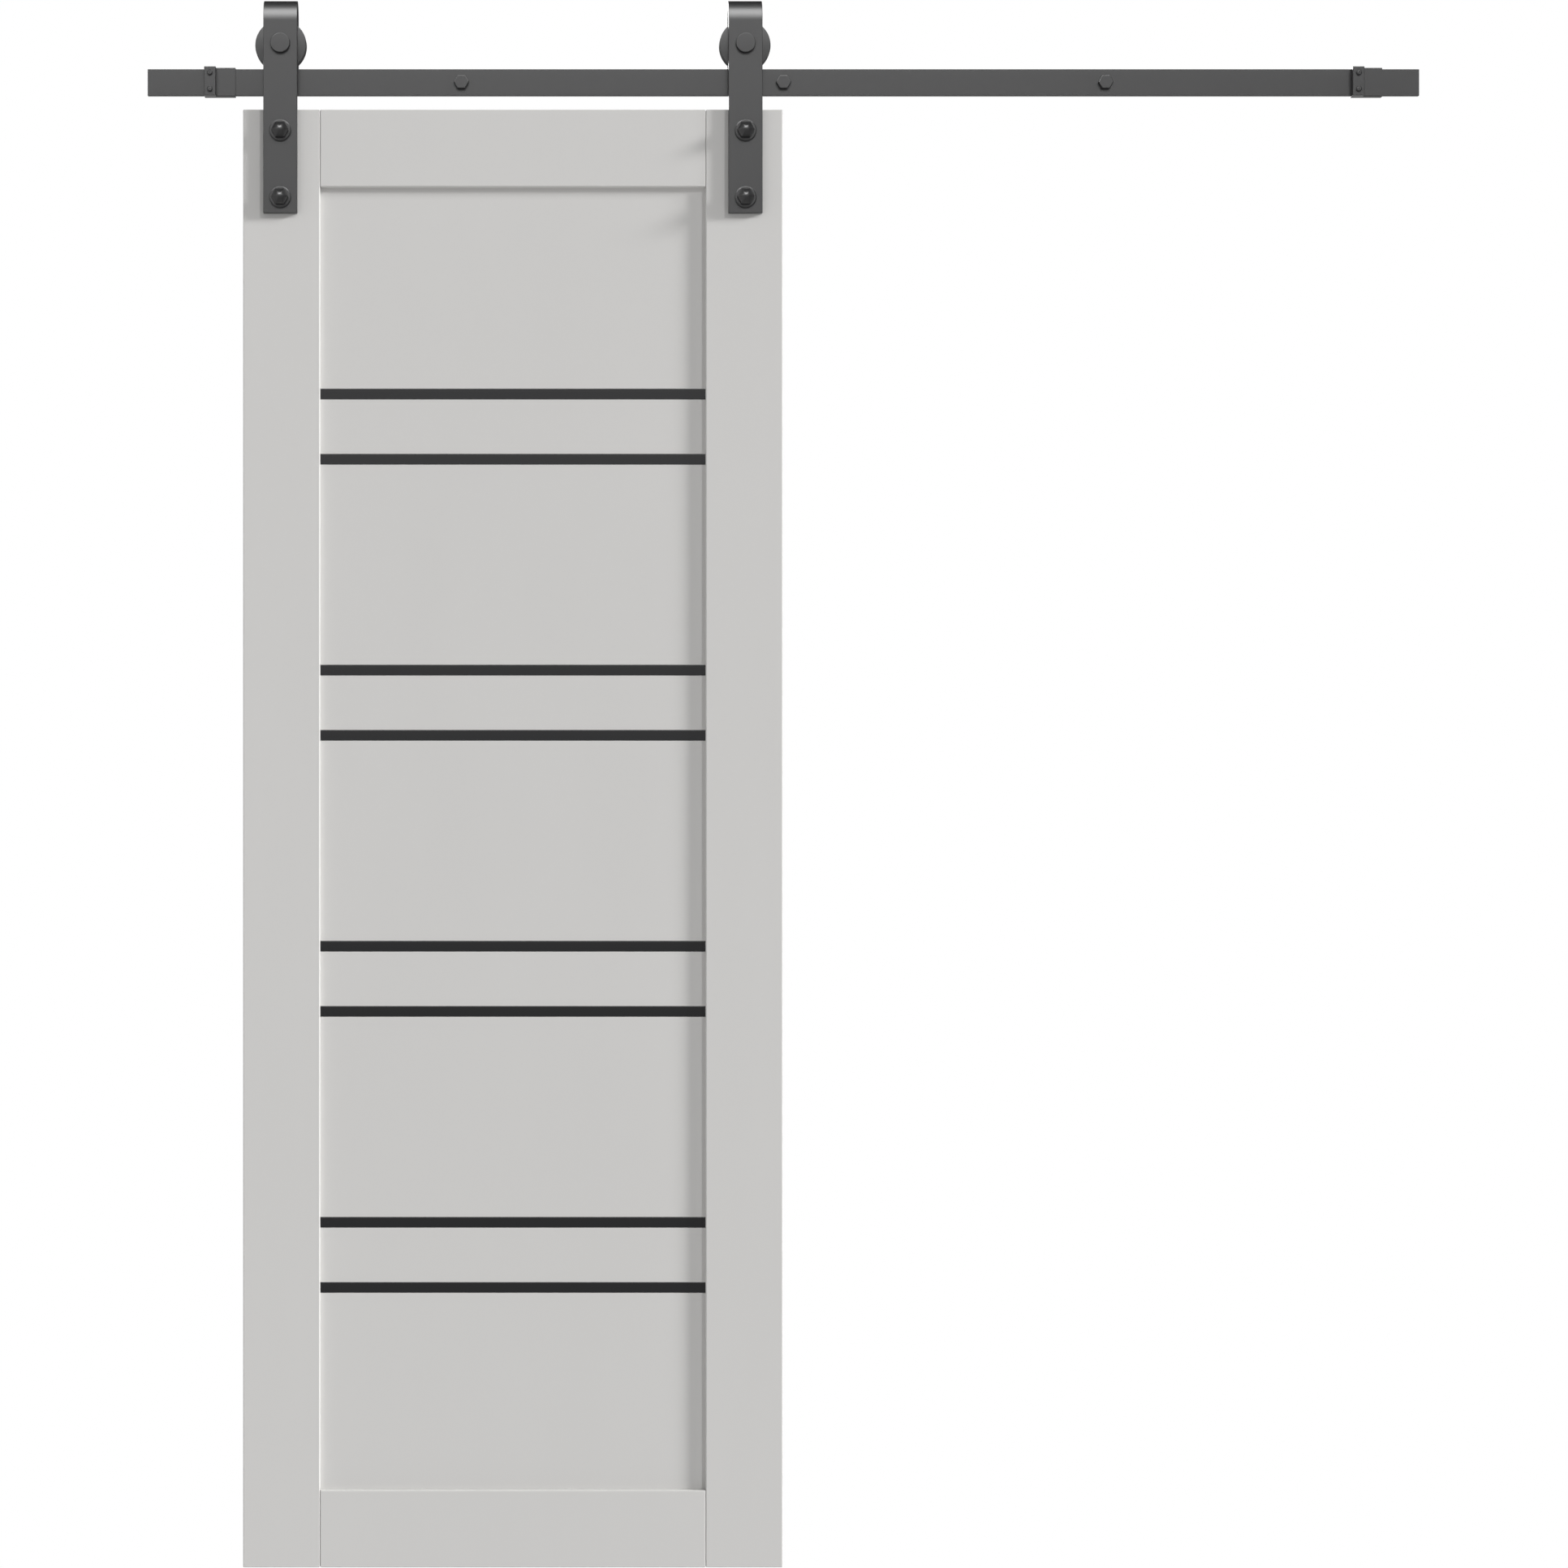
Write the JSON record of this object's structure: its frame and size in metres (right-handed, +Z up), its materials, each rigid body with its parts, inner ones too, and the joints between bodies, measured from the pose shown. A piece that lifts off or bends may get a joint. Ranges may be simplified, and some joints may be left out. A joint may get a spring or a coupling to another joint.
{
  "type": "sliding barn door hardware",
  "caption": "Flat-track sliding barn door set: a wall rail on spacers with end stops, strap hangers with grooved wheels, and the panelled door they carry",
  "frame": {"origin": "on the wall plane where the middle fixing bolt's axis crosses it, level with the middle of the rail's height", "axes": "+X along the rail to the right as seen from the room, +Y into the wall, so -Y points out into the room, +Z up"},
  "size_m": [1.864, 0.1206, 2.2948],
  "materials": {
    "coated_steel": "dark grey satin powder coat with a fine texture",
    "zinc_steel": "bright zinc plate, lightly brushed",
    "door_laminate": "smooth off-white satin laminate over wood board",
    "black_glass": "black back-lacquered glass, polished and opaque"
  },
  "bodies": {
    "wall_track": {"rail": "coated_steel", "rail_spacer_left": "coated_steel", "rail_spacer_middle": "coated_steel", "rail_spacer_right": "coated_steel", "rail_bolt_left": "coated_steel", "rail_bolt_middle": "coated_steel", "rail_bolt_right": "coated_steel", "stop_sleeve_left": "coated_steel", "stop_sleeve_right": "coated_steel", "stop_block_left": "coated_steel", "stop_block_right": "coated_steel", "stop_screw_left_upper": "coated_steel", "stop_screw_left_lower": "coated_steel", "stop_screw_right_upper": "coated_steel", "stop_screw_right_lower": "coated_steel"},
    "door": {"stile_left": "door_laminate", "stile_right": "door_laminate", "cross_rail_top": "door_laminate", "cross_rail_bottom": "door_laminate", "panel_board_1": "door_laminate", "panel_board_2": "door_laminate", "panel_board_3": "door_laminate", "panel_board_4": "door_laminate", "panel_board_5": "door_laminate", "panel_board_6": "door_laminate", "panel_board_7": "door_laminate", "panel_board_8": "door_laminate", "panel_board_9": "door_laminate", "inlay_strip_1": "black_glass", "inlay_strip_2": "black_glass", "inlay_strip_3": "black_glass", "inlay_strip_4": "black_glass", "inlay_strip_5": "black_glass", "inlay_strip_6": "black_glass", "inlay_strip_7": "black_glass", "inlay_strip_8": "black_glass", "strap_left": "coated_steel", "strap_right": "coated_steel", "axle_bolt_left": "coated_steel", "axle_bolt_right": "coated_steel", "axle_nut_left": "zinc_steel", "axle_nut_right": "zinc_steel", "axle_sleeve_left": "zinc_steel", "axle_sleeve_right": "zinc_steel", "washer_left_upper": "coated_steel", "washer_left_lower": "coated_steel", "washer_right_upper": "coated_steel", "washer_right_lower": "coated_steel", "door_bolt_left_upper": "coated_steel", "door_bolt_left_lower": "coated_steel", "door_bolt_right_upper": "coated_steel", "door_bolt_right_lower": "coated_steel", "sleeve_nut_left_upper": "coated_steel", "sleeve_nut_left_lower": "coated_steel", "sleeve_nut_right_upper": "coated_steel", "sleeve_nut_right_lower": "coated_steel"},
    "wheel_left": {"wheel_left": "coated_steel", "wheel_bearing_left": "zinc_steel"},
    "wheel_right": {"wheel_right": "coated_steel", "wheel_bearing_right": "zinc_steel"}
  },
  "joints": [
    {"name": "door_slide", "type": "slide", "parent": "wall_track", "child": "door", "axis": [1, 0, 0], "range_m": [-0.047, 0.862]},
    {"name": "wheel_left_spin", "type": "hinge", "parent": "door", "child": "wheel_left", "pos_m": [-0.7365, -0.038, 0.0538], "axis": [0, 1, 0], "continuous": true},
    {"name": "wheel_right_spin", "type": "hinge", "parent": "door", "child": "wheel_right", "pos_m": [-0.0565, -0.038, 0.0538], "axis": [0, 1, 0], "continuous": true}
  ],
  "couplings": [
    {"joint": "wheel_left_spin", "follows": "door_slide", "rad_per_m": 29.412},
    {"joint": "wheel_right_spin", "follows": "door_slide", "rad_per_m": 29.412}
  ]
}
